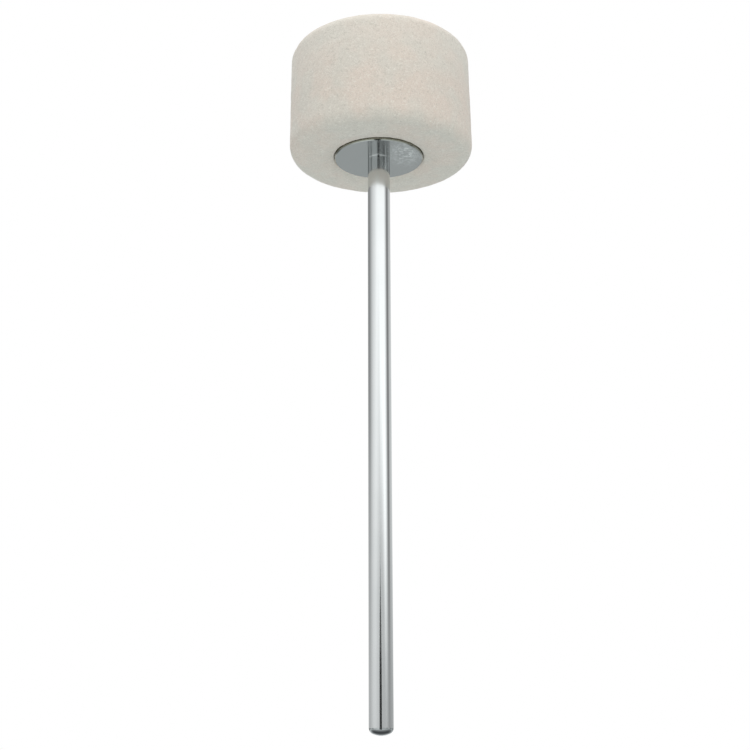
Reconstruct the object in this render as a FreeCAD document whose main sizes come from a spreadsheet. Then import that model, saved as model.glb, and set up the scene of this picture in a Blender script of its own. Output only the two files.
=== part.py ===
import FreeCAD, Part
import math
import os
import Sketcher

# Bass drum beater: a felt head clamped between two round plates on the threaded stud of a
# straight steel shaft, with a spring lock washer and a hexagon nut on top.
# Frame: millimetres, +Z runs up the shaft to the head, and the origin is the point on the
# shaft's axis where the pedal's beater clamp grips it.

SIZES = (
    ("shaft_diameter", 8.0, "straight bar that the pedal clamp grips"),
    ("shaft_reach", 200.9, "end of the domed tip to the shoulder under the head"),
    ("tip_dome_height", 2.45, "rise of the rounded lower end"),
    ("tip_edge_radius", 2.0, "rounding between the bar and the dome"),
    ("clamp_height", 30.0, "end of the tip to the point that the pedal grips"),
    ("stud_diameter", 6.0, "turned-down stud that carries the head"),
    ("stud_end_chamfer", 0.8, "lead-in chamfer on the stud"),
    ("stud_beyond_nut", 1.5, "stud showing above the nut"),
    ("plate_diameter", 32.2, "clamp plates"),
    ("plate_thickness", 1.5, "clamp plates"),
    ("plate_rim_chamfer", 0.4, "bevelled outer rim of a clamp plate"),
    ("plate_hole_clearance", 0.2, "radial, plate hole round the stud"),
    ("plate_bed_depth", 0.7, "how deep each plate beds into the felt"),
    ("plate_bed_clearance", 0.15, "radial, felt round the rim of a plate"),
    ("felt_diameter", 66.1, "felt head at its lower edge"),
    ("felt_top_diameter", 65.3, "felt head at its upper edge"),
    ("felt_height", 41.5, "felt head between its flat end faces"),
    ("felt_draw_depth", 0.8, "how far the clamping draws the felt in at a plate's rim"),
    ("felt_draw_width", 5.0, "width of the drawn-in ring round a plate"),
    ("felt_lower_edge_radius", 4.4, "rounded lower edge of the felt"),
    ("felt_upper_edge_radius", 4.0, "rounded upper edge of the felt"),
    ("felt_bore_clearance", 0.3, "radial, felt bore round the stud"),
    ("lock_washer_diameter", 11.8, "spring lock washer"),
    ("lock_washer_thickness", 1.6, "spring lock washer, pressed flat"),
    ("lock_washer_clearance", 0.1, "radial, lock washer round the stud"),
    ("lock_washer_slit", 0.7, "width of the slit"),
    ("lock_washer_skew", 0.6, "sideways lean of the slit over the thickness"),
    ("nut_across_flats", 10.0, "hexagon nut"),
    ("nut_height", 5.0, "hexagon nut"),
    ("nut_face_step", 0.6, "across flats less the round bearing face"),
    ("nut_chamfer_angle", 30.0, "degrees, slope of the corner chamfers"),
    ("nut_bore_clearance", 0.05, "radial, nut bore round the stud"),
    ("nut_bore_chamfer", 0.45, "countersink at both ends of the bore"),
)

# Numbers that a sketch gives to a side's own points, to its two axes and to its origin.
START_INDEX = 1
END_INDEX = 2
CENTRE_INDEX = 3
HORIZONTAL_INDEX = -1
VERTICAL_INDEX = -2
ORIGIN_INDEX = (-1, 1)

UP = FreeCAD.Vector(0, 0, 1)
FULL_TURN = 360.0
HEXAGON_SIDES = 6

# How close an edge has to lie to a wanted radius or height to be the wanted one.
MATCH = 1e-4

# The most of a wall that a rounding takes up.
ROUNDING_RATIO = 0.9

# The corner chamfers of the nut are cut out to this many times the corner radius.
OVERCUT_RATIO = 1.08


class Size:
    """A size as a number and as the formula of named sizes that gives it."""

    def __init__(self, number, formula):
        self.number = number
        self.formula = formula

    def __add__(self, other):
        other = as_size(other)
        return Size(self.number + other.number, f"({self.formula} + {other.formula})")

    def __sub__(self, other):
        other = as_size(other)
        return Size(self.number - other.number, f"({self.formula} - {other.formula})")

    def __mul__(self, other):
        other = as_size(other)
        return Size(self.number * other.number, f"({self.formula} * {other.formula})")

    def __truediv__(self, other):
        other = as_size(other)
        return Size(self.number / other.number, f"({self.formula} / {other.formula})")


def as_size(value):
    if isinstance(value, Size):
        return value
    return Size(float(value), repr(float(value)))


def tangent(angle):
    return Size(math.tan(math.radians(angle.number)), f"tan({angle.formula} * 1 deg)")


def limited(radius, wall):
    """A rounding, or less where the wall that it runs out on is too narrow for it."""
    room = wall * ROUNDING_RATIO
    return Size(min(radius.number, room.number), f"min({radius.formula}; {room.formula})")


def dome_radius(half_width, rise, edge_radius):
    """Radius of the dome that rises over a bar and runs smoothly into its rounded edge."""
    inset = half_width - edge_radius
    return (inset * inset + rise * rise - edge_radius * edge_radius) / ((rise - edge_radius) * 2)


def fill_sheet(document):
    """Writes the driving sizes to a sheet and returns them by name."""
    sheet = document.addObject("Spreadsheet::Sheet", "Sizes")
    sizes = {}
    for row, (name, number, note) in enumerate(SIZES, start=1):
        sheet.set(f"A{row}", name)
        sheet.set(f"B{row}", str(number))
        sheet.set(f"C{row}", note)
        sheet.setAlias(f"B{row}", name)
        sizes[name] = Size(number, f"Sizes.{name}")
    document.recompute()
    return sizes


def add_body(document, label, height):
    """A body whose own base lies at a height on the shaft's axis."""
    body = document.addObject("PartDesign::Body", label)
    body.Label = label
    body.setExpression("Placement.Base.z", height.formula)
    return body


def add_sketch(body, name, plane_role):
    sketch = body.newObject("Sketcher::SketchObject", name)
    plane = next(item for item in body.Origin.OriginFeatures if item.Role == plane_role)
    sketch.AttachmentSupport = [(plane, "")]
    sketch.MapMode = "FlatFace"
    return sketch


def bind(sketch, constraint, name, size):
    """Adds a sized constraint and ties it to the named sizes."""
    number = sketch.addConstraint(constraint)
    sketch.renameConstraint(number, name)
    sketch.setExpression(f"Constraints.{name}", size.formula)


def join_sides(sketch, side, next_side):
    """Makes one side end where the next one starts."""
    sketch.addConstraint(Sketcher.Constraint("Coincident", side, END_INDEX, next_side, START_INDEX))


def place_point(sketch, side, across, up):
    """Fixes a side's start point by its two distances from the origin."""
    for kind, axis, distance in (("X", VERTICAL_INDEX, across), ("Y", HORIZONTAL_INDEX, up)):
        if distance.number == 0:
            sketch.addConstraint(Sketcher.Constraint("PointOnObject", side, START_INDEX, axis))
        else:
            rule = Sketcher.Constraint("Distance" + kind, *ORIGIN_INDEX, side, START_INDEX, distance.number)
            bind(sketch, rule, f"point_{side}_{kind.lower()}", distance)


def outward_arc(start, end, radius):
    """Arc from start to end that bulges to the right of the way from one to the other."""
    chord = end - start
    middle = (start + end) * 0.5
    left = FreeCAD.Vector(-chord.y, chord.x, 0).normalize()
    centre = middle + left * math.sqrt(radius ** 2 - chord.Length ** 2 / 4)
    first = math.atan2(start.y - centre.y, start.x - centre.x)
    last = math.atan2(end.y - centre.y, end.x - centre.x)
    return Part.ArcOfCircle(Part.Circle(centre, UP, radius), first, last)


def draw_outline(sketch, corners, arcs=None):
    """Draws one closed outline, anticlockwise. arcs gives the radius of each side that isn't straight."""
    arcs = arcs or {}
    first_side = sketch.GeometryCount
    corners = [(as_size(across), as_size(up)) for across, up in corners]
    points = [FreeCAD.Vector(across.number, up.number, 0) for across, up in corners]
    following = points[1:] + points[:1]
    for side, (start, end) in enumerate(zip(points, following)):
        if side in arcs:
            sketch.addGeometry(outward_arc(start, end, arcs[side].number), False)
        else:
            sketch.addGeometry(Part.LineSegment(start, end), False)
    for side in range(len(corners)):
        join_sides(sketch, first_side + side, first_side + (side + 1) % len(corners))
    for side, (across, up) in enumerate(corners):
        place_point(sketch, first_side + side, across, up)
    for side, radius in arcs.items():
        rule = Sketcher.Constraint("Radius", first_side + side, radius.number)
        bind(sketch, rule, f"radius_{first_side + side}", radius)


def turn(body, sketch, kind, name):
    """Revolves a sketch once round the shaft's axis: a Revolution adds, a Groove cuts."""
    feature = body.newObject(f"PartDesign::{kind}", name)
    feature.Profile = sketch
    feature.ReferenceAxis = (sketch, ["V_Axis"])
    feature.Angle = FULL_TURN
    sketch.Visibility = False
    body.Document.recompute()
    return feature


def ring_edges(feature, radius, heights):
    """Names of the circular edges of one radius at the given heights in the body's own frame."""
    names = []
    for number, edge in enumerate(feature.Shape.Edges, start=1):
        curve = edge.Curve
        if not isinstance(curve, Part.Circle) or abs(curve.Radius - radius) > MATCH:
            continue
        if any(abs(curve.Center.z - height) < MATCH for height in heights):
            names.append(f"Edge{number}")
    return names


def dress_edges(body, base, kind, name, edges, size):
    """Rounds or chamfers edges of the last feature."""
    feature = body.newObject(f"PartDesign::{kind}", name)
    feature.Base = (base, edges)
    feature.setExpression("Radius" if kind == "Fillet" else "Size", size.formula)
    body.Document.recompute()
    return feature


def make_shaft(document, size, base, length):
    """Bar with a round-edged domed tip, a square shoulder and a turned-down stud."""
    radius = size["shaft_diameter"] / 2
    stud_radius = size["stud_diameter"] / 2
    rise = size["tip_dome_height"]
    edge = limited(size["tip_edge_radius"], rise)
    dome = dome_radius(radius, rise, edge)
    dome_share = dome / (dome - edge)
    reach = size["shaft_reach"]
    chamfer = size["stud_end_chamfer"]
    body = add_body(document, "shaft", base)
    profile = add_sketch(body, "shaft_profile", "XZ_Plane")
    corners = (
        (0, 0),
        ((radius - edge) * dome_share, dome - (dome - rise) * dome_share),
        (radius, rise),
        (radius, reach),
        (stud_radius, reach),
        (stud_radius, length - chamfer),
        (stud_radius - chamfer, length),
        (0, length),
    )
    draw_outline(profile, corners, {0: dome, 1: edge})
    turn(body, profile, "Revolution", "turned_bar")
    return body


def make_plate(document, size, label, height, outer_face):
    """Round clamp plate with a bevelled rim on the face that points away from the felt."""
    thickness = size["plate_thickness"]
    outer_radius = size["plate_diameter"] / 2
    hole_radius = size["stud_diameter"] / 2 + size["plate_hole_clearance"]
    body = add_body(document, label, height)
    profile = add_sketch(body, f"{label}_profile", "XZ_Plane")
    corners = (
        (hole_radius, 0),
        (outer_radius, 0),
        (outer_radius, thickness),
        (hole_radius, thickness),
    )
    draw_outline(profile, corners)
    disc = turn(body, profile, "Revolution", f"{label}_disc")
    rim = ring_edges(disc, outer_radius.number, [outer_face.number])
    dress_edges(body, disc, "Chamfer", f"{label}_rim", rim, size["plate_rim_chamfer"])
    return body


def make_felt_head(document, size, height):
    """Pressed felt: tapered side, rounded edges, and end faces drawn in to a bed for each plate."""
    bore_radius = size["stud_diameter"] / 2 + size["felt_bore_clearance"]
    bed_radius = size["plate_diameter"] / 2 + size["plate_bed_clearance"]
    draw_radius = bed_radius + size["felt_draw_width"]
    lower_radius = size["felt_diameter"] / 2
    upper_radius = size["felt_top_diameter"] / 2
    top = size["felt_height"]
    lip = size["felt_draw_depth"]
    bed = lip + size["plate_bed_depth"]
    body = add_body(document, "felt_head", height)
    profile = add_sketch(body, "felt_profile", "XZ_Plane")
    corners = (
        (bore_radius, bed),
        (bed_radius, bed),
        (bed_radius, lip),
        (draw_radius, 0),
        (lower_radius, 0),
        (upper_radius, top),
        (draw_radius, top),
        (bed_radius, top - lip),
        (bed_radius, top - bed),
        (bore_radius, top - bed),
    )
    draw_outline(profile, corners)
    block = turn(body, profile, "Revolution", "felt_block")
    lower_edge = ring_edges(block, lower_radius.number, [0])
    lower_rounding = limited(size["felt_lower_edge_radius"], lower_radius - draw_radius)
    rounded = dress_edges(body, block, "Fillet", "felt_lower_edge", lower_edge, lower_rounding)
    upper_edge = ring_edges(rounded, upper_radius.number, [top.number])
    upper_rounding = limited(size["felt_upper_edge_radius"], upper_radius - draw_radius)
    dress_edges(body, rounded, "Fillet", "felt_upper_edge", upper_edge, upper_rounding)
    return body


def make_lock_washer(document, size, height):
    """Spring lock washer pressed flat, with its leaning slit."""
    inner_radius = size["stud_diameter"] / 2 + size["lock_washer_clearance"]
    outer_radius = size["lock_washer_diameter"] / 2
    thickness = size["lock_washer_thickness"]
    slit = size["lock_washer_slit"]
    skew = size["lock_washer_skew"]
    body = add_body(document, "lock_washer", height)
    profile = add_sketch(body, "lock_washer_profile", "XZ_Plane")
    corners = (
        (inner_radius, 0),
        (outer_radius, 0),
        (outer_radius, thickness),
        (inner_radius, thickness),
    )
    draw_outline(profile, corners)
    ring = turn(body, profile, "Revolution", "lock_washer_ring")
    slit_sketch = add_sketch(body, "lock_washer_slit_outline", "YZ_Plane")
    draw_outline(slit_sketch, ((0, 0), (slit, 0), (slit + skew, thickness), (skew, thickness)))
    cut = body.newObject("PartDesign::Pocket", "lock_washer_slit_cut")
    cut.Profile = slit_sketch
    cut.Type = "ThroughAll"
    slit_sketch.Visibility = False
    document.recompute()
    require_cut(ring, cut)
    return body


def draw_hexagon(sketch, across_flats):
    """Regular hexagon about the origin with one corner on the horizontal axis."""
    corner_radius = across_flats.number / math.sqrt(3)
    corners = []
    for number in range(HEXAGON_SIDES):
        angle = math.radians(FULL_TURN * number / HEXAGON_SIDES)
        corners.append(FreeCAD.Vector(math.cos(angle), math.sin(angle), 0) * corner_radius)
    for start, end in zip(corners, corners[1:] + corners[:1]):
        sketch.addGeometry(Part.LineSegment(start, end), False)
    guide = sketch.addGeometry(Part.Circle(FreeCAD.Vector(), UP, corner_radius), True)
    sketch.addConstraint(Sketcher.Constraint("Coincident", guide, CENTRE_INDEX, *ORIGIN_INDEX))
    for side in range(HEXAGON_SIDES):
        join_sides(sketch, side, (side + 1) % HEXAGON_SIDES)
        sketch.addConstraint(Sketcher.Constraint("PointOnObject", side, START_INDEX, guide))
    for side in range(1, HEXAGON_SIDES):
        sketch.addConstraint(Sketcher.Constraint("Equal", 0, side))
    sketch.addConstraint(Sketcher.Constraint("PointOnObject", 0, START_INDEX, HORIZONTAL_INDEX))
    half = across_flats / 2
    bind(sketch, Sketcher.Constraint("Distance", *ORIGIN_INDEX, 0, half.number), "centre_to_flat", half)


def make_nut(document, size, height):
    """Hexagon nut, corners chamfered on both faces, bore countersunk at both ends."""
    top = size["nut_height"]
    across_flats = size["nut_across_flats"]
    bore_radius = size["stud_diameter"] / 2 + size["nut_bore_clearance"]
    face_radius = (across_flats - size["nut_face_step"]) / 2
    beyond_corners = across_flats / math.sqrt(3) * OVERCUT_RATIO
    drop = (beyond_corners - face_radius) * tangent(size["nut_chamfer_angle"])
    body = add_body(document, "nut", height)
    outline = add_sketch(body, "nut_hexagon", "XY_Plane")
    draw_hexagon(outline, across_flats)
    bore = outline.addGeometry(Part.Circle(FreeCAD.Vector(), UP, bore_radius.number), False)
    outline.addConstraint(Sketcher.Constraint("Coincident", bore, CENTRE_INDEX, *ORIGIN_INDEX))
    bind(outline, Sketcher.Constraint("Radius", bore, bore_radius.number), "bore_radius", bore_radius)
    block = body.newObject("PartDesign::Pad", "nut_block")
    block.Profile = outline
    block.setExpression("Length", top.formula)
    outline.Visibility = False
    document.recompute()
    waste = add_sketch(body, "nut_corner_waste", "XZ_Plane")
    draw_outline(waste, ((face_radius, 0), (beyond_corners, 0), (beyond_corners, drop)))
    draw_outline(waste, ((face_radius, top), (beyond_corners, top - drop), (beyond_corners, top)))
    chamfered = turn(body, waste, "Groove", "nut_corner_chamfers")
    require_cut(block, chamfered)
    mouths = ring_edges(chamfered, bore_radius.number, [0, top.number])
    dress_edges(body, chamfered, "Chamfer", "nut_countersinks", mouths, size["nut_bore_chamfer"])
    return body


def require_cut(before, after):
    if not after.Shape.Volume < before.Shape.Volume:
        raise RuntimeError(f"{after.Name} cut nothing")


def check_document(document, bodies):
    document.recompute()
    for item in document.Objects:
        if "Invalid" in item.State or "Error" in item.State:
            raise RuntimeError(f"{item.Name} failed: {item.State}")
    for body in bodies:
        shape = body.Shape
        if shape.isNull() or not shape.isValid() or len(shape.Solids) != 1:
            raise RuntimeError(f"{body.Label} is not one valid solid")


def main():
    document = FreeCAD.newDocument("bass_drum_beater")
    size = fill_sheet(document)

    # Heights of the stack, from the tip upwards, measured from the clamp point.
    tip = as_size(0) - size["clamp_height"]
    shoulder = tip + size["shaft_reach"]
    bed_depth = size["felt_draw_depth"] + size["plate_bed_depth"]
    felt_base = shoulder + size["plate_thickness"] - bed_depth
    upper_plate_base = felt_base + size["felt_height"] - bed_depth
    lock_washer_base = upper_plate_base + size["plate_thickness"]
    nut_base = lock_washer_base + size["lock_washer_thickness"]
    stud_end = nut_base + size["nut_height"] + size["stud_beyond_nut"]

    bodies = [
        make_shaft(document, size, tip, stud_end - tip),
        make_plate(document, size, "lower_plate", shoulder, as_size(0)),
        make_felt_head(document, size, felt_base),
        make_plate(document, size, "upper_plate", upper_plate_base, size["plate_thickness"]),
        make_lock_washer(document, size, lock_washer_base),
        make_nut(document, size, nut_base),
    ]
    check_document(document, bodies)

    os.makedirs("parts", exist_ok=True)
    for body in bodies:
        body.Shape.exportStep(f"parts/{body.Label}.step")
        box = body.Shape.BoundBox
        print(f"{body.Label}: {body.Shape.Volume:.1f} mm3, z {box.ZMin:.2f} to {box.ZMax:.2f}")


main()
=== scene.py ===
import math

import bmesh
import bpy
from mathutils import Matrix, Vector, noise


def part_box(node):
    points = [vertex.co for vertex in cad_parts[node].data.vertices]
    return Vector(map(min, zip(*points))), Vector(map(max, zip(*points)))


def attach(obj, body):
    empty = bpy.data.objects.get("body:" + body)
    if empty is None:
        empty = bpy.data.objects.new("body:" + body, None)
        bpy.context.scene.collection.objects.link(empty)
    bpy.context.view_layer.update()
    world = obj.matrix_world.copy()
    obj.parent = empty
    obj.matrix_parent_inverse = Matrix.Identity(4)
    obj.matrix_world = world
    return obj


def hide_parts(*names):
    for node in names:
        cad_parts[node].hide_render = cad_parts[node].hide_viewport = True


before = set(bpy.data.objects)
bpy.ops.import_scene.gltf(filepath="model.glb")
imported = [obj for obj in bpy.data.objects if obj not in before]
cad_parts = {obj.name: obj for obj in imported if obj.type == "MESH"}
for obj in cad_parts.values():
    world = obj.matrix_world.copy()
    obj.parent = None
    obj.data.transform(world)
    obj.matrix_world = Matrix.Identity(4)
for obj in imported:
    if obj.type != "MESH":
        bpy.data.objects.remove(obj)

# The looks of a bass drum beater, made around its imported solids. Lengths are in metres, in the solids' own
# frame: Z runs along the shaft from the tip to the head, and the pedal's clamp grips the shaft at the origin.
MM = 0.001
AXIS = Vector((0.0, 0.0, 1.0))
ORIGIN = Vector((0.0, 0.0, 0.0))
QUARTER_TURN = math.pi / 2
MERGE_DISTANCE = 0.002 * MM

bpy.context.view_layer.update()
SHAFT_LOW, SHAFT_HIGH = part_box("shaft")
FELT_LOW, FELT_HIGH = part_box("felt_head")
PLATE_LOW, PLATE_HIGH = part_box("lower_plate")
TOP_PLATE_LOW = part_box("upper_plate")[0]
WASHER_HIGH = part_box("lock_washer")[1]

# Shaft: plain bar with a domed tip, a shoulder under the lower plate, and a threaded stud through the head.
BAR_RADIUS = SHAFT_HIGH.x
BAR_STEPS = 128
BAR_PARTS = 8
BAR_SHARP_ANGLE = math.radians(30)
TIP_RISE = 2.45 * MM
TIP_DOME_PARTS = 14
TIP_EDGE_RADIUS = 2.0 * MM
TIP_EDGE_PARTS = 40
EDGE_SUPPORT = 0.5 * MM
SHOULDER_HEIGHT = PLATE_LOW.z
SHOULDER_TAPER = 0.05 * MM
SHOULDER_TAPER_HEIGHT = 0.25 * MM
STUD_RADIUS = 3.0 * MM
STUD_CHAMFER = 0.8 * MM
STUD_END_PARTS = 3
STUD_END_CENTRE = STUD_RADIUS * 0.5
THREAD_START = TOP_PLATE_LOW.z
THREAD_PITCH = 1.0 * MM
THREAD_DEPTH = 0.56 * MM
THREAD_CREST_SHARE = 0.16
THREAD_ROW = 0.04 * MM

# Plates: a paler, hazy patch on the lower one, a ring scraped by the lock washer on the upper one, and
# painted shade at the rims, where they meet the felt.
PLATE_RIM = PLATE_HIGH.x
# Painted shade: the rim's outer edge is painted dark, standing in for the shaded gap against the felt.
RIM_PAINTED_SHADE_START = PLATE_RIM - 0.5 * MM
RIM_PAINTED_SHADE_END = PLATE_RIM - 0.1 * MM
PALE_PATCH_SPOT = Vector((9.5, -5.0, 0.0)) * MM
PALE_PATCH_STRETCH = (1.3, 0.75, 0.0)
PALE_PATCH_CORE = 4.0 * MM
PALE_PATCH_REACH = 9.0 * MM
WASHER_RIM = WASHER_HIGH.x
SCRAPE_REACH = WASHER_RIM + 2.0 * MM
SCRAPE_STRENGTH = 0.6

# Felt head: a tapered block with rounded edges, its end faces drawn in towards the bedded plates.
FELT_LOWER_RADIUS = 33.05 * MM
FELT_UPPER_RADIUS = 32.65 * MM
FELT_LOWER_ROUND = 4.0 * MM
FELT_UPPER_ROUND = 4.0 * MM
FELT_CROWN = 0.35 * MM
FELT_DRAW_DEPTH = 0.8 * MM
FELT_DRAW_WIDTH = 5.0 * MM
FELT_BED_RADIUS = PLATE_RIM + 0.15 * MM
FELT_BED_PARTS = 12
FELT_LIP_ROUND = 0.35 * MM
FELT_LIP_PARTS = 5
FELT_BORE_RADIUS = 3.3 * MM
FELT_GRAIN = 0.46 * MM
FELT_STEPS = 430
FELT_SMOOTHINGS = 3
FELT_SHARP_ANGLE = math.radians(60)
FELT_SHOWN_RADIUS = FELT_BED_RADIUS + 0.02 * MM
# The block was trimmed a little off the bore's centre, more at its lower end.
FELT_OFF_CENTRE_LOW = 0.80 * MM
FELT_OFF_CENTRE_HIGH = 0.52 * MM
# Painted light: the upper part of the felt's side is painted paler, standing in for light from above.
FELT_PAINTED_LIGHT_START = FELT_HIGH.z - 24.0 * MM
FELT_PAINTED_LIGHT_END = FELT_HIGH.z - 8.0 * MM
FELT_PAINTED_LIGHT_SHARE = 0.28

# The pressed wool's relief: swells, tufts and swirled strands, how wide they are and how far they stand out.
SWELL_SIZE = 9.0 * MM
SWELL_HEIGHT = 0.10 * MM
SWELL_SEED = 3.1
TUFT_SIZE = 3.2 * MM
TUFT_HEIGHT = 0.06 * MM
TUFT_SEED = 7.7
SWIRL_SIZE = 2.6 * MM
SWIRL_REACH = 0.9 * MM
SWIRL_SEEDS = (1.3, 5.9, 9.2)
STRAND_SIZE = 1.25 * MM
STRAND_HEIGHT = 0.06 * MM
STRAND_SEED = 12.4


class Outline:
    """A half section in the XZ plane, drawn as a chain of edges and then turned about the shaft's axis."""

    def __init__(self, radius, height):
        self.mesh = bmesh.new()
        self.start = self.mesh.verts.new((radius, 0.0, height))
        self.end = self.start

    def line(self, radius, height, parts=1):
        first = self.end.co.copy()
        last = Vector((radius, 0.0, height))
        for part in range(1, parts + 1):
            made = bmesh.ops.extrude_vert_indiv(self.mesh, verts=[self.end])
            self.end = made["verts"][0]
            self.end.co = first.lerp(last, part / parts)

    def arc(self, radius, height, angle, parts):
        """Turns the last point about (radius, height); a positive angle turns from +X towards +Z."""
        made = bmesh.ops.spin(
            self.mesh,
            geom=[self.end],
            cent=(radius, 0.0, height),
            axis=(0.0, -1.0, 0.0),
            angle=angle,
            steps=parts,
        )
        self.end = next(item for item in made["geom_last"] if isinstance(item, bmesh.types.BMVert))

    def close(self):
        self.mesh.edges.new((self.end, self.start))

    def turn(self, steps):
        """The closed surface that the half section sweeps in one full turn."""
        bmesh.ops.spin(
            self.mesh,
            geom=self.mesh.verts[:] + self.mesh.edges[:],
            cent=ORIGIN,
            axis=AXIS,
            angle=math.tau,
            steps=steps,
            use_merge=True,
        )
        bmesh.ops.remove_doubles(self.mesh, verts=self.mesh.verts, dist=MERGE_DISTANCE)
        bmesh.ops.recalc_face_normals(self.mesh, faces=self.mesh.faces)
        return self.mesh


def from_axis(vertex):
    """How far a vertex is from the shaft's axis."""
    return math.hypot(vertex.co.x, vertex.co.y)


def clamped(value):
    """The value, held between 0 and 1."""
    return min(1.0, max(0.0, value))


def link_mesh(name, mesh):
    """Ends a bmesh and puts it in the scene as an object."""
    data = bpy.data.meshes.new(name)
    mesh.to_mesh(data)
    mesh.free()
    item = bpy.data.objects.new(name, data)
    bpy.context.scene.collection.objects.link(item)
    return item


def make_piece(name, mesh, sharp_angle):
    """A finished piece: smooth faces, with the edges sharper than sharp_angle kept crisp."""
    for face in mesh.faces:
        face.smooth = True
    for edge in mesh.edges:
        if len(edge.link_faces) == 2:
            edge.smooth = edge.calc_face_angle() < sharp_angle
    return link_mesh(name, mesh)


def thread_radius(angle, height):
    """The stud's radius there: a right-hand V thread that the end chamfer cuts off."""
    turn = ((height - THREAD_START) / THREAD_PITCH - angle / math.tau) % 1.0
    slope = abs(2.0 * turn - 1.0)
    groove = clamped((slope - THREAD_CREST_SHARE) / (1.0 - 2.0 * THREAD_CREST_SHARE))
    run_in = clamped((height - THREAD_START) / THREAD_PITCH)
    below_end = SHAFT_HIGH.z - height
    chamfer_radius = STUD_RADIUS - max(0.0, STUD_CHAMFER - below_end)
    return min(STUD_RADIUS - THREAD_DEPTH * groove * run_in, chamfer_radius)


def make_shaft():
    """Bar, tip, shoulder and stud in one turned piece, with the thread cut into the stud's upper end."""
    inset = BAR_RADIUS - TIP_EDGE_RADIUS
    dome_rise = TIP_RISE - TIP_EDGE_RADIUS
    dome_radius = (inset ** 2 + TIP_RISE ** 2 - TIP_EDGE_RADIUS ** 2) / (2.0 * dome_rise)
    dome_reach = math.asin(inset / (dome_radius - TIP_EDGE_RADIUS))
    tip = SHAFT_LOW.z
    bar_foot = tip + TIP_RISE
    bar_head = SHOULDER_HEIGHT - SHOULDER_TAPER_HEIGHT
    outline = Outline(0.0, tip)
    outline.arc(0.0, tip + dome_radius, dome_reach, TIP_DOME_PARTS)
    outline.arc(inset, bar_foot, QUARTER_TURN - dome_reach, TIP_EDGE_PARTS)
    outline.line(BAR_RADIUS, bar_foot + EDGE_SUPPORT)
    outline.line(BAR_RADIUS, bar_head - EDGE_SUPPORT, BAR_PARTS)
    outline.line(BAR_RADIUS, bar_head)
    outline.line(BAR_RADIUS - SHOULDER_TAPER, SHOULDER_HEIGHT)
    outline.line(STUD_RADIUS, SHOULDER_HEIGHT)
    outline.line(STUD_RADIUS, THREAD_START)
    rows = round((SHAFT_HIGH.z - THREAD_START) / THREAD_ROW)
    outline.line(STUD_RADIUS, SHAFT_HIGH.z, rows)
    outline.line(0.0, SHAFT_HIGH.z, STUD_END_PARTS)
    mesh = outline.turn(BAR_STEPS)
    for vertex in mesh.verts:
        radius = from_axis(vertex)
        if vertex.co.z < THREAD_START or radius < STUD_END_CENTRE:
            continue
        allowed = thread_radius(math.atan2(vertex.co.y, vertex.co.x), vertex.co.z)
        vertex.co.xy *= min(1.0, allowed / radius)
    return make_piece("shaft_bar", mesh, BAR_SHARP_ANGLE)


def lumps(place, size, seed):
    """Smooth noise from -1 to 1 whose lumps are about that size."""
    return noise.noise(place / size + Vector((seed, 2.0 * seed, 3.0 * seed)))


def felt_relief(place):
    """How far the pressed wool stands out of its plain shape there."""
    swells = lumps(place, SWELL_SIZE, SWELL_SEED) * SWELL_HEIGHT
    tufts = lumps(place, TUFT_SIZE, TUFT_SEED) * TUFT_HEIGHT
    swirl = Vector([lumps(place, SWIRL_SIZE, seed) for seed in SWIRL_SEEDS])
    strands = lumps(place + swirl * SWIRL_REACH, STRAND_SIZE, STRAND_SEED) * STRAND_HEIGHT
    return swells + tufts + strands


def felt_parts(length):
    """Into how many edges a length of the felt's outline is divided."""
    return max(1, round(length / FELT_GRAIN))


def felt_outline():
    """The felt's half section, from the bore by the lower bed, the edges and the side to the upper bed."""
    low, high = FELT_LOW.z, FELT_HIGH.z
    bed, top_bed = PLATE_HIGH.z, TOP_PLATE_LOW.z
    lower_flat = FELT_LOWER_RADIUS - FELT_LOWER_ROUND
    upper_flat = FELT_UPPER_RADIUS - FELT_UPPER_ROUND
    draw_end = FELT_BED_RADIUS + FELT_DRAW_WIDTH
    lip_radius = FELT_BED_RADIUS + FELT_LIP_ROUND
    lower_lip = low + FELT_DRAW_DEPTH
    upper_lip = high - FELT_DRAW_DEPTH
    lower_edge = low + FELT_CROWN
    side_foot = lower_edge + FELT_LOWER_ROUND
    side_head = high - FELT_UPPER_ROUND
    draw_parts = felt_parts(FELT_DRAW_WIDTH)
    lower_parts = felt_parts(FELT_LOWER_ROUND * QUARTER_TURN)
    upper_parts = felt_parts(FELT_UPPER_ROUND * QUARTER_TURN)
    outline = Outline(FELT_BORE_RADIUS, bed)
    outline.line(FELT_BED_RADIUS, bed, FELT_BED_PARTS)
    outline.line(FELT_BED_RADIUS, lower_lip + FELT_LIP_ROUND)
    outline.arc(lip_radius, lower_lip + FELT_LIP_ROUND, QUARTER_TURN, FELT_LIP_PARTS)
    outline.line(draw_end, low, draw_parts)
    outline.line(lower_flat, lower_edge, felt_parts(lower_flat - draw_end))
    outline.arc(lower_flat, side_foot, QUARTER_TURN, lower_parts)
    outline.line(FELT_UPPER_RADIUS, side_head, felt_parts(side_head - side_foot))
    outline.arc(upper_flat, side_head, QUARTER_TURN, upper_parts)
    outline.line(draw_end, high, felt_parts(upper_flat - draw_end))
    outline.line(lip_radius, upper_lip, draw_parts)
    outline.arc(lip_radius, upper_lip - FELT_LIP_ROUND, QUARTER_TURN, FELT_LIP_PARTS)
    outline.line(FELT_BED_RADIUS, top_bed)
    outline.line(FELT_BORE_RADIUS, top_bed, FELT_BED_PARTS)
    outline.close()
    return outline


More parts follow.
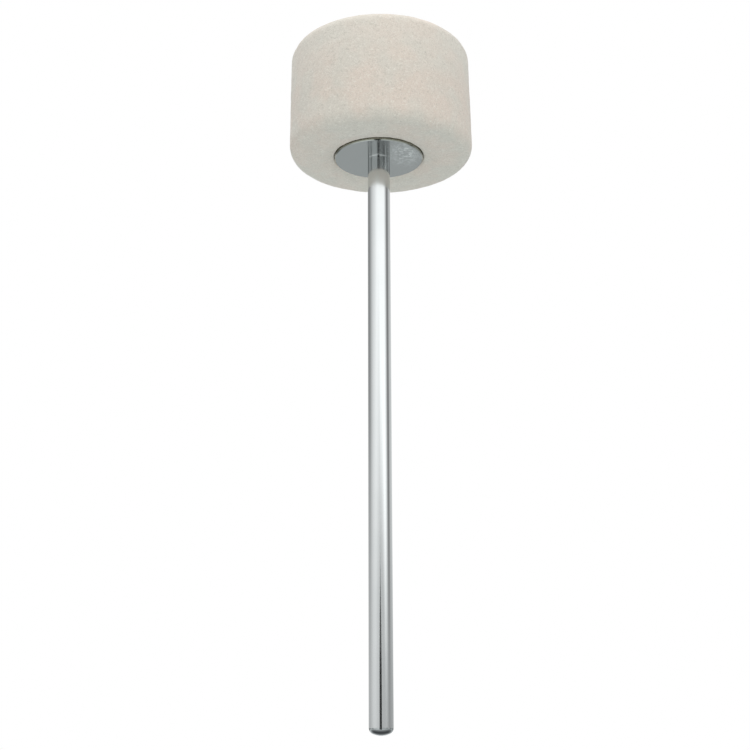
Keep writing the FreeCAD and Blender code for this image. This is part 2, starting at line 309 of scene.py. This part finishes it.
def make_felt_head():
    """The felt block: its turned form, smoothed, raised by the wool's relief and moved off centre."""
    mesh = felt_outline().turn(FELT_STEPS)
    shown = [vertex for vertex in mesh.verts if from_axis(vertex) > FELT_SHOWN_RADIUS]
    for _ in range(FELT_SMOOTHINGS):
        bmesh.ops.smooth_vert(
            mesh,
            verts=shown,
            factor=0.5,
            use_axis_x=True,
            use_axis_y=True,
            use_axis_z=True,
        )
    mesh.normal_update()
    moves = [(vertex, vertex.normal * felt_relief(vertex.co)) for vertex in shown]
    for vertex, move in moves:
        vertex.co += move
        from_bed = (from_axis(vertex) - FELT_BED_RADIUS) / FELT_DRAW_WIDTH
        rise = (vertex.co.z - FELT_LOW.z) / (FELT_HIGH.z - FELT_LOW.z)
        off_centre = FELT_OFF_CENTRE_LOW + (FELT_OFF_CENTRE_HIGH - FELT_OFF_CENTRE_LOW) * rise
        vertex.co.x += off_centre * clamped(from_bed)
    return make_piece("felt_block", mesh, FELT_SHARP_ANGLE)


WHITE = (1.0, 1.0, 1.0, 1.0)
SEEN_ALONG_SHAFT = (1.0, 1.0, 0.0)
EVERY_WAY = (1.0, 1.0, 1.0)


class Nodes:
    """A node tree, with short calls for what the finishes and the studio share."""

    def __init__(self, tree):
        self.tree = tree
        self.tree.nodes.clear()

    def add(self, kind, settings=None, **sockets):
        node = self.tree.nodes.new(kind)
        for name, value in (settings or {}).items():
            setattr(node, name, value)
        for name, value in sockets.items():
            self.give(node.inputs[name.replace("_", " ")], value)
        return node

    def give(self, socket, value):
        """Links a socket to another one, or sets its value."""
        if isinstance(value, bpy.types.NodeSocket):
            self.tree.links.new(value, socket)
        else:
            socket.default_value = value

    def fill(self, node, *values):
        """Gives a node's first sockets their values in order."""
        for socket, value in zip(node.inputs, values):
            self.give(socket, value)
        return node.outputs

    def combine(self, operation, first, second):
        node = self.add("ShaderNodeMath", {"operation": operation})
        return self.fill(node, first, second)[0]

    def mix_shaders(self, share, first, second):
        return self.fill(self.add("ShaderNodeMixShader"), share, first, second)[0]

    def seen_directly(self):
        """1 for rays from the camera, a mirror or glass, and 0 for rays that light the object."""
        path = self.add("ShaderNodeLightPath").outputs
        seen = self.combine("MAXIMUM", path["Is Camera Ray"], path["Is Glossy Ray"])
        return self.combine("MAXIMUM", seen, path["Is Transmission Ray"])

    def spread(self, value, low, high, to_low=0.0, to_high=1.0):
        """Takes the part of value between low and high to the range to_low to to_high."""
        node = self.add("ShaderNodeMapRange", From_Min=low, From_Max=high, To_Min=to_low, To_Max=to_high)
        self.give(node.inputs["Value"], value)
        return node.outputs["Result"]


class Finish(Nodes):
    """A material's nodes."""

    def __init__(self, name):
        self.material = bpy.data.materials.new(name)
        self.material.use_nodes = True
        super().__init__(self.material.node_tree)
        self.place = self.add("ShaderNodeTexCoord").outputs["Object"]

    def coordinates(self):
        """The place's X, Y and Z, each on its own socket."""
        return self.add("ShaderNodeSeparateXYZ", Vector=self.place).outputs

    def stretched(self, scale):
        """The place, multiplied along each axis."""
        return self.add("ShaderNodeMapping", Vector=self.place, Scale=scale).outputs["Vector"]

    def vector_step(self, operation, *values):
        node = self.add("ShaderNodeVectorMath", {"operation": operation})
        return self.fill(node, *values)

    def from_spot(self, spot, stretch=SEEN_ALONG_SHAFT):
        """How far the place is from a spot, seen along the shaft unless another stretch is given."""
        shifted = self.vector_step("SUBTRACT", self.place, spot)["Vector"]
        scaled = self.vector_step("MULTIPLY", shifted, stretch)["Vector"]
        return self.vector_step("LENGTH", scaled)["Value"]

    def grain(self, size, detail, roughness=0.5, distortion=0.0, place=None):
        """Noise from 0 to 1 whose features are about that size in metres."""
        node = self.add(
            "ShaderNodeTexNoise",
            Vector=place or self.place,
            Scale=1.0 / size,
            Detail=detail,
            Roughness=roughness,
            Distortion=distortion,
        )
        return node.outputs["Fac"]

    def tint(self, share, first, second):
        """The first colour where share is 0 and the second where it is 1."""
        node = self.add("ShaderNodeMix", {"data_type": "RGBA"})
        self.give(node.inputs["Factor"], share)
        self.give(node.inputs[6], first)
        self.give(node.inputs[7], second)
        return node.outputs[2]

    def bump(self, height, strength, distance, under=None):
        node = self.add("ShaderNodeBump", Height=height, Strength=strength, Distance=distance)
        if under is not None:
            self.give(node.inputs["Normal"], under)
        return node.outputs["Normal"]

    def glow(self, colour, strength=1.0):
        return self.add("ShaderNodeEmission", Color=colour, Strength=strength).outputs[0]

    def surface(self, **sockets):
        shader = self.add("ShaderNodeBsdfPrincipled", **sockets)
        return self.show(shader.outputs["BSDF"])

    def show(self, shader):
        """Puts a shader on the surface and gives the finished material."""
        output = self.add("ShaderNodeOutputMaterial")
        self.tree.links.new(shader, output.inputs["Surface"])
        return self.material


def pressed_felt():
    """Pressed wool: warm and cool blotches, an upper part painted paler as painted light from above, and
    light and dark fibres that stand out.
    """
    warm = (0.70, 0.600, 0.525, 1.0)
    cool = (0.665, 0.610, 0.542, 1.0)
    pale = (0.80, 0.76, 0.69, 1.0)
    dull = (0.52, 0.48, 0.42, 1.0)
    felt = Finish("pressed_felt")
    blotches = felt.grain(size=11.0 * MM, detail=2.0)
    fibres = felt.grain(size=0.8 * MM, detail=4.0, roughness=0.62, distortion=1.8)
    tufts = felt.grain(size=2.0 * MM, detail=3.0, roughness=0.55, distortion=0.8)
    tone = felt.tint(felt.spread(blotches, low=0.38, high=0.62), warm, cool)
    height = felt.coordinates()["Z"]
    # Painted light: the upper part of the side is painted paler, standing in for light from above.
    painted_top_light = felt.spread(height, FELT_PAINTED_LIGHT_START, FELT_PAINTED_LIGHT_END, to_high=FELT_PAINTED_LIGHT_SHARE)
    tone = felt.tint(painted_top_light, tone, pale)
    light_fibres = felt.spread(fibres, low=0.52, high=0.70)
    tone = felt.tint(light_fibres, tone, pale)
    dark_fibres = felt.spread(fibres, low=0.46, high=0.29, to_high=0.95)
    tone = felt.tint(dark_fibres, tone, dull)
    relief = felt.bump(tufts, strength=0.5, distance=0.5 * MM)
    relief = felt.bump(fibres, strength=0.8, distance=0.18 * MM, under=relief)
    return felt.surface(
        Base_Color=tone,
        Roughness=0.95,
        Specular_IOR_Level=0.15,
        Sheen_Weight=0.2,
        Sheen_Roughness=0.6,
        Normal=relief,
    )


def bar_chrome():
    """Chrome on the turned bar: faint smears, and fine polishing lines that run round it."""
    smeared = (0.65, 0.665, 0.665, 1.0)
    clear = (0.68, 0.69, 0.69, 1.0)
    along_lines = (0.06, 0.06, 1.0)
    chrome = Finish("bar_chrome")
    smears = chrome.grain(size=11.0 * MM, detail=4.0, roughness=0.6)
    polish = chrome.grain(size=0.5 * MM, detail=3.0, roughness=0.6, place=chrome.stretched(along_lines))
    return chrome.surface(
        Base_Color=chrome.tint(chrome.spread(smears, low=0.3, high=0.7), smeared, clear),
        Metallic=1.0,
        Roughness=chrome.spread(smears, low=0.35, high=0.65, to_low=0.075, to_high=0.10),
        Anisotropic=0.9,
        Anisotropic_Rotation=0.25,
        Normal=chrome.bump(polish, strength=0.02, distance=0.02 * MM),
    )


def pale_patch(chrome):
    """A paler, hazy, less metallic patch beside the shaft, from 0 to 1."""
    reach = chrome.from_spot(PALE_PATCH_SPOT, PALE_PATCH_STRETCH)
    return chrome.spread(reach, PALE_PATCH_CORE, PALE_PATCH_REACH, to_low=1.0, to_high=0.0)


def washer_scrape(chrome):
    """The ring that the lock washer scraped as the nut was turned down, from 0 to 1."""
    reach = chrome.from_spot(ORIGIN)
    return chrome.spread(reach, WASHER_RIM, SCRAPE_REACH, to_low=SCRAPE_STRENGTH, to_high=0.0)


def plate_chrome(name, mark):
    """Chrome on a punched plate: clouded, hazy where the mark is, and with painted shade at the rim, where it
    meets the felt.
    """
    cooler = (0.77, 0.79, 0.78, 1.0)
    warmer = (0.77, 0.785, 0.775, 1.0)
    hazy = (0.92, 0.94, 0.93, 1.0)
    rim_shade_grey = (0.34, 0.34, 0.28, 1.0)
    chrome = Finish(name)
    clouds = chrome.grain(size=7.0 * MM, detail=4.0, roughness=0.6)
    specks = chrome.grain(size=0.9 * MM, detail=2.0)
    mottle = chrome.grain(size=1.2 * MM, detail=4.0, roughness=0.68, distortion=0.8)
    haze = chrome.combine("MULTIPLY", chrome.spread(mottle, low=0.47, high=0.60), mark(chrome))
    plate = chrome.tint(chrome.spread(clouds, low=0.34, high=0.66), cooler, warmer)
    plate = chrome.tint(haze, plate, hazy)
    # Painted shade: the rim's outer edge is painted dark, standing in for the shaded gap against the felt.
    rim = chrome.spread(chrome.from_spot(ORIGIN), RIM_PAINTED_SHADE_START, RIM_PAINTED_SHADE_END)
    plate = chrome.tint(rim, plate, rim_shade_grey)
    dents = chrome.bump(clouds, strength=0.04, distance=0.15 * MM)
    return chrome.surface(
        Base_Color=plate,
        Metallic=chrome.spread(haze, low=0.0, high=1.0, to_low=1.0, to_high=0.62),
        Roughness=chrome.spread(clouds, low=0.35, high=0.65, to_low=0.10, to_high=0.18),
        Normal=chrome.bump(specks, strength=0.05, distance=0.03 * MM, under=dents),
    )


def bright_zinc():
    """Zinc on the nut and the washer: bluish and yellowish clouds over a fine grain."""
    bluish = (0.60, 0.63, 0.66, 1.0)
    yellowish = (0.68, 0.68, 0.66, 1.0)
    zinc = Finish("bright_zinc")
    clouds = zinc.grain(size=2.2 * MM, detail=3.0, roughness=0.6)
    grain = zinc.grain(size=0.22 * MM, detail=2.0)
    return zinc.surface(
        Base_Color=zinc.tint(zinc.spread(clouds, low=0.3, high=0.7), bluish, yellowish),
        Metallic=1.0,
        Roughness=zinc.spread(clouds, low=0.35, high=0.65, to_low=0.24, to_high=0.38),
        Normal=zinc.bump(grain, strength=0.06, distance=0.03 * MM),
    )


def dress(piece, material):
    piece.data.materials.clear()
    piece.data.materials.append(material)


def make_object():
    shaft = make_shaft()
    dress(shaft, bar_chrome())
    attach(shaft, "shaft")
    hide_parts("shaft")

    head = make_felt_head()
    dress(head, pressed_felt())
    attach(head, "head")
    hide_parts("felt_head")

    dress(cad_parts["lower_plate"], plate_chrome("lower_plate_chrome", pale_patch))
    dress(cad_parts["upper_plate"], plate_chrome("upper_plate_chrome", washer_scrape))
    zinc = bright_zinc()
    for node in ("lock_washer", "nut"):
        dress(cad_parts[node], zinc)


# Studio: a pale floor and soft lamps, with grey screens, a mat and a camera stand that show only in the
# metal's reflections.
FLOOR_HEIGHT = -0.09
FLOOR_RADIUS = 3.0
FLOOR_STEPS = 96
FLOOR_SEEN_GREY = (0.79, 0.765, 0.765, 1.0)
FLOOR_BOUNCE_GREY = (0.70, 0.745, 0.755, 1.0)
FLOOR_LIFT = 0.10
FLOOR_FADE_START = 0.35
FLOOR_FADE_END = 1.1

SCREEN_RADIUS = 1.2
SCREEN_STEPS = 64
SCREEN_TOP = 1.6
SCREEN_LOW_LEVEL = 0.2
LEFT_SCREEN_HIGH = 0.60
RIGHT_SCREEN_HIGH = 0.42
# Beside the camera the upper greys reach lower down the screens.
SCREEN_CORNER = -0.85
SCREEN_DIP = 0.2
SCREEN_TINT = (0.98, 1.0, 1.005)
# How strongly the screens are lit, as (height, strength).
SCREEN_LIGHT = [(-0.1, 0.89), (0.1, 0.99), (0.3, 1.09), (0.45, 1.06), (0.7, 0.98), (1.6, 0.98)]
# Greys of the screens, as (Y, level) from the front of the studio to its back.
LEFT_FOOT_GREYS = [
    (-1.2, 0.80), (-1.1, 0.83), (-0.75, 0.98), (-0.37, 0.97), (0.12, 0.83), (0.43, 0.69), (1.2, 0.62),
]
LEFT_UPPER_GREYS = [
    (-1.2, 1.43), (-1.1, 1.36), (-0.83, 1.10), (-0.45, 0.92), (0.1, 0.58), (0.45, 0.34), (1.2, 0.36),
]
RIGHT_FOOT_GREYS = [
    (-1.2, 0.71), (-1.1, 0.68), (-0.72, 0.71), (-0.5, 0.62), (-0.2, 0.45), (0.1, 0.50), (1.2, 0.62),
]
RIGHT_UPPER_GREYS = [
    (-1.2, 1.43), (-0.8, 1.43), (-0.6, 1.16), (-0.3, 0.46),
    (-0.1, 0.26), (0.1, 0.28), (0.4, 0.66), (1.2, 0.80),
]

MAT_HEIGHT = FLOOR_HEIGHT + 0.002
MAT_STEPS = 64
MAT_TINT = (0.95, 1.01, 1.02)
# Greys of the mat's sectors, as (degrees to the right of the camera, level).
MAT_SECTORS = [
    (-180, 0.36), (-162, 0.36), (-150, 0.20), (-124, 0.20), (-114, 0.46), (-100, 0.46),
    (-92, 0.22), (-82, 0.22), (-72, 0.47), (-8, 0.45), (8, 0.25), (38, 0.25),
    (48, 0.15), (64, 0.15), (72, 0.42), (82, 0.42), (92, 0.14), (102, 0.14),
    (110, 0.38), (124, 0.38), (136, 0.20), (150, 0.20), (162, 0.36), (180, 0.36),
]
# Towards the screens the mat glows brighter.
MAT_FADE_START = 0.66
MAT_FADE_END = 1.1
MAT_EDGE_GAIN = 1.7
# A pool of light lies round the shaft's foot, as (X, level), and the object's own shade lies in it.
POOL_GREYS = [(-1.2, 0.80), (-0.1, 0.80), (0.1, 0.62), (1.2, 0.62)]
POOL_SPOT = Vector((0.0, -0.06, 0.0))
POOL_CORE = 0.22
POOL_REACH = 0.38
SHADE_GREY = (0.07, 0.075, 0.08, 1.0)
SHADE_SPOT = Vector((0.0, 0.015, 0.0))
SHADE_STRETCH = (0.5, 1.0, 0.0)
SHADE_CORE = 0.025
SHADE_REACH = 0.145

STAND_BLACK = (0.03, 0.03, 0.03, 1.0)
STAND_PLACE = -1.1
STAND_LEFT_FOOT = (-0.31, STAND_PLACE, FLOOR_HEIGHT)
STAND_RIGHT_FOOT = (0.15, STAND_PLACE, FLOOR_HEIGHT)
STAND_LEFT_WAIST = (-0.26, STAND_PLACE, 0.055)
STAND_RIGHT_WAIST = (0.13, STAND_PLACE, 0.055)
STAND_TOP = (-0.05, STAND_PLACE, 0.165)
STAND_SHADOW_HEIGHT = MAT_HEIGHT + 0.002
STAND_SHADOW_LEFT = (-0.028, -0.1, STAND_SHADOW_HEIGHT)
STAND_SHADOW_RIGHT = (0.014, -0.1, STAND_SHADOW_HEIGHT)

AMBIENT_COLOUR = (0.97, 1.0, 1.0, 1.0)
AMBIENT_STRENGTH = 0.72
LAMP_TARGET = Vector((0.0, 0.0, 0.19))

# The camera's place and turn, its lens and the width of its sensor in millimetres.
CAMERA_PLACE = (0.0, -0.4157, -0.0271)
CAMERA_TURN = (math.radians(105.70), math.radians(0.177), math.radians(0.274))
CAMERA_LENS = 60.0
CAMERA_SENSOR = 36.0


def link_stage(name, mesh, material):
    item = link_mesh(name, mesh)
    dress(item, material)
    return item


def only_mirrored(item):
    """Leaves a stage item to the metal's reflections: it neither shows nor lights nor shades anything."""
    item.visible_camera = False
    item.visible_diffuse = False
    item.visible_shadow = False


def floor_paint():
    """A matt pale grey that keeps the shadow near the object and turns white further out."""
    paint = Finish("floor_paint")
    seen = paint.seen_directly()
    grey = paint.tint(seen, FLOOR_BOUNCE_GREY, FLOOR_SEEN_GREY)
    matt = paint.add("ShaderNodeBsdfDiffuse", Color=grey).outputs[0]
    lift = paint.glow(WHITE, paint.spread(seen, 0.0, 1.0, to_high=FLOOR_LIFT))
    near = paint.fill(paint.add("ShaderNodeAddShader"), matt, lift)[0]
    far = paint.spread(paint.from_spot(ORIGIN, EVERY_WAY), FLOOR_FADE_START, FLOOR_FADE_END)
    far_seen = paint.combine("MULTIPLY", far, seen)
    return paint.show(paint.mix_shaders(far_seen, near, paint.glow(WHITE)))


def make_disc(radius, height, steps):
    mesh = bmesh.new()
    bmesh.ops.create_circle(mesh, cap_ends=True, segments=steps, radius=radius)
    bmesh.ops.translate(mesh, verts=mesh.verts, vec=(0.0, 0.0, height))
    return mesh


def make_floor():
    link_stage("floor", make_disc(FLOOR_RADIUS, FLOOR_HEIGHT, FLOOR_STEPS), floor_paint())


def brightness(paint, along, stops, tint=EVERY_WAY):
    """A tinted grey that follows stops of (place, level) along one coordinate."""
    first, last = stops[0][0], stops[-1][0]
    ramp = paint.add("ShaderNodeValToRGB", Fac=paint.spread(along, first, last))
    elements = ramp.color_ramp.elements
    while len(elements) < len(stops):
        elements.new(0.5)
    for element, (place, level) in zip(elements, stops):
        element.position = (place - first) / (last - first)
        element.color = (level * tint[0], level * tint[1], level * tint[2], 1.0)
    return ramp.outputs["Color"]


def screen_paint(name, foot_greys, upper_greys, high_level):
    """A glowing screen whose greys change from those at its foot to the upper ones at high_level."""
    paint = Finish(name)
    position = paint.coordinates()
    foot = brightness(paint, position["Y"], foot_greys, SCREEN_TINT)
    upper = brightness(paint, position["Y"], upper_greys, SCREEN_TINT)
    dip = paint.spread(position["Y"], -SCREEN_RADIUS, SCREEN_CORNER, to_high=SCREEN_DIP)
    level = paint.combine("ADD", position["Z"], dip)
    rise = paint.spread(level, SCREEN_LOW_LEVEL, high_level)
    light = brightness(paint, position["Z"], SCREEN_LIGHT)
    return paint.show(paint.glow(paint.tint(rise, foot, upper), light))


def make_screen(name, start, end, material):
    """An upright curved screen from one bearing to another, in degrees to the right of the camera."""
    bearing = math.radians(start)
    across = SCREEN_RADIUS * math.sin(bearing)
    ahead = -SCREEN_RADIUS * math.cos(bearing)
    mesh = bmesh.new()
    foot = mesh.verts.new((across, ahead, FLOOR_HEIGHT))
    top = mesh.verts.new((across, ahead, SCREEN_TOP))
    edge = mesh.edges.new((foot, top))
    bmesh.ops.spin(
        mesh,
        geom=[foot, top, edge],
        cent=ORIGIN,
        axis=AXIS,
        angle=math.radians(end - start),
        steps=SCREEN_STEPS,
    )
    only_mirrored(link_stage(name, mesh, material))


def make_screens():
    left_grey = screen_paint("left_grey", LEFT_FOOT_GREYS, LEFT_UPPER_GREYS, LEFT_SCREEN_HIGH)
    right_grey = screen_paint("right_grey", RIGHT_FOOT_GREYS, RIGHT_UPPER_GREYS, RIGHT_SCREEN_HIGH)
    make_screen("left_screen", -180, 0, left_grey)
    make_screen("right_screen", 0, 180, right_grey)


def mat_paint():
    """A glowing disc of pale and dark grey sectors, with a pool of light at their middle and the object's
    shade in it.
    """
    paint = Finish("mat_grey")
    position = paint.coordinates()
    to_front = paint.combine("MULTIPLY", position["Y"], -1.0)
    bearing = paint.combine("ARCTAN2", position["X"], to_front)
    sectors = [(math.radians(angle), level) for angle, level in MAT_SECTORS]
    grey = brightness(paint, bearing, sectors, MAT_TINT)
    pool = brightness(paint, position["X"], POOL_GREYS, MAT_TINT)
    outside_pool = paint.spread(paint.from_spot(POOL_SPOT), POOL_CORE, POOL_REACH)
    grey = paint.tint(outside_pool, pool, grey)
    outside_shade = paint.spread(paint.from_spot(SHADE_SPOT, SHADE_STRETCH), SHADE_CORE, SHADE_REACH)
    grey = paint.tint(outside_shade, SHADE_GREY, grey)
    reach = paint.from_spot(ORIGIN)
    gain = paint.spread(reach, MAT_FADE_START, MAT_FADE_END, to_low=1.0, to_high=MAT_EDGE_GAIN)
    return paint.show(paint.glow(grey, gain))


def make_mat():
    only_mirrored(link_stage("floor_mat", make_disc(SCREEN_RADIUS, MAT_HEIGHT, MAT_STEPS), mat_paint()))


def make_stand():
    """The dark camera stand in front, broad at its foot, with its shadow on the mat."""
    paint = Finish("stand_black")
    mesh = bmesh.new()
    left_foot = mesh.verts.new(STAND_LEFT_FOOT)
    right_foot = mesh.verts.new(STAND_RIGHT_FOOT)
    left_waist = mesh.verts.new(STAND_LEFT_WAIST)
    right_waist = mesh.verts.new(STAND_RIGHT_WAIST)
    top = mesh.verts.new(STAND_TOP)
    shadow_left = mesh.verts.new(STAND_SHADOW_LEFT)
    shadow_right = mesh.verts.new(STAND_SHADOW_RIGHT)
    mesh.faces.new((left_foot, right_foot, right_waist, top, left_waist))
    mesh.faces.new((left_foot, shadow_left, shadow_right, right_foot))
    only_mirrored(link_stage("camera_stand", mesh, paint.show(paint.glow(STAND_BLACK))))


def make_world():
    """Soft light from all round, with white behind the object for the camera and the metal."""
    world = bpy.data.worlds.new("studio")
    bpy.context.scene.world = world
    world.use_nodes = True
    studio = Nodes(world.node_tree)
    ambient = studio.add("ShaderNodeBackground", Color=AMBIENT_COLOUR, Strength=AMBIENT_STRENGTH)
    white = studio.add("ShaderNodeBackground", Color=WHITE, Strength=1.0)
    mixed = studio.mix_shaders(studio.seen_directly(), ambient.outputs[0], white.outputs[0])
    studio.add("ShaderNodeOutputWorld", Surface=mixed)


def make_lamp(name, place, size, power, colour):
    """A soft square lamp that points at the head, and that no reflection shows."""
    data = bpy.data.lights.new(name, "AREA")
    data.shape = "SQUARE"
    data.size = size
    data.energy = power
    data.color = colour
    lamp = bpy.data.objects.new(name, data)
    bpy.context.scene.collection.objects.link(lamp)
    lamp.location = place
    lamp.rotation_euler = (LAMP_TARGET - Vector(place)).to_track_quat("-Z", "Y").to_euler()
    lamp.visible_camera = False
    lamp.visible_glossy = False


def make_lamps():
    make_lamp("front_softbox", place=(0.26, -1.23, 0.6), size=1.2, power=5.4, colour=(1.0, 0.95, 0.92))
    make_lamp("back_softbox", place=(-0.25, 1.2, 0.55), size=0.8, power=3.0, colour=(1.0, 0.97, 0.95))
    make_lamp("top_softbox", place=(-0.1, -0.1, 1.3), size=0.28, power=5.2, colour=(0.97, 1.0, 1.0))


def make_camera():
    data = bpy.data.cameras.new("camera")
    data.sensor_width = CAMERA_SENSOR
    data.lens = CAMERA_LENS
    camera = bpy.data.objects.new("camera", data)
    bpy.context.scene.collection.objects.link(camera)
    camera.location = CAMERA_PLACE
    camera.rotation_euler = CAMERA_TURN
    bpy.context.scene.camera = camera


make_object()
make_floor()
make_screens()
make_mat()
make_stand()
make_world()
make_lamps()
make_camera()
bpy.context.scene.view_settings.view_transform = "Standard"
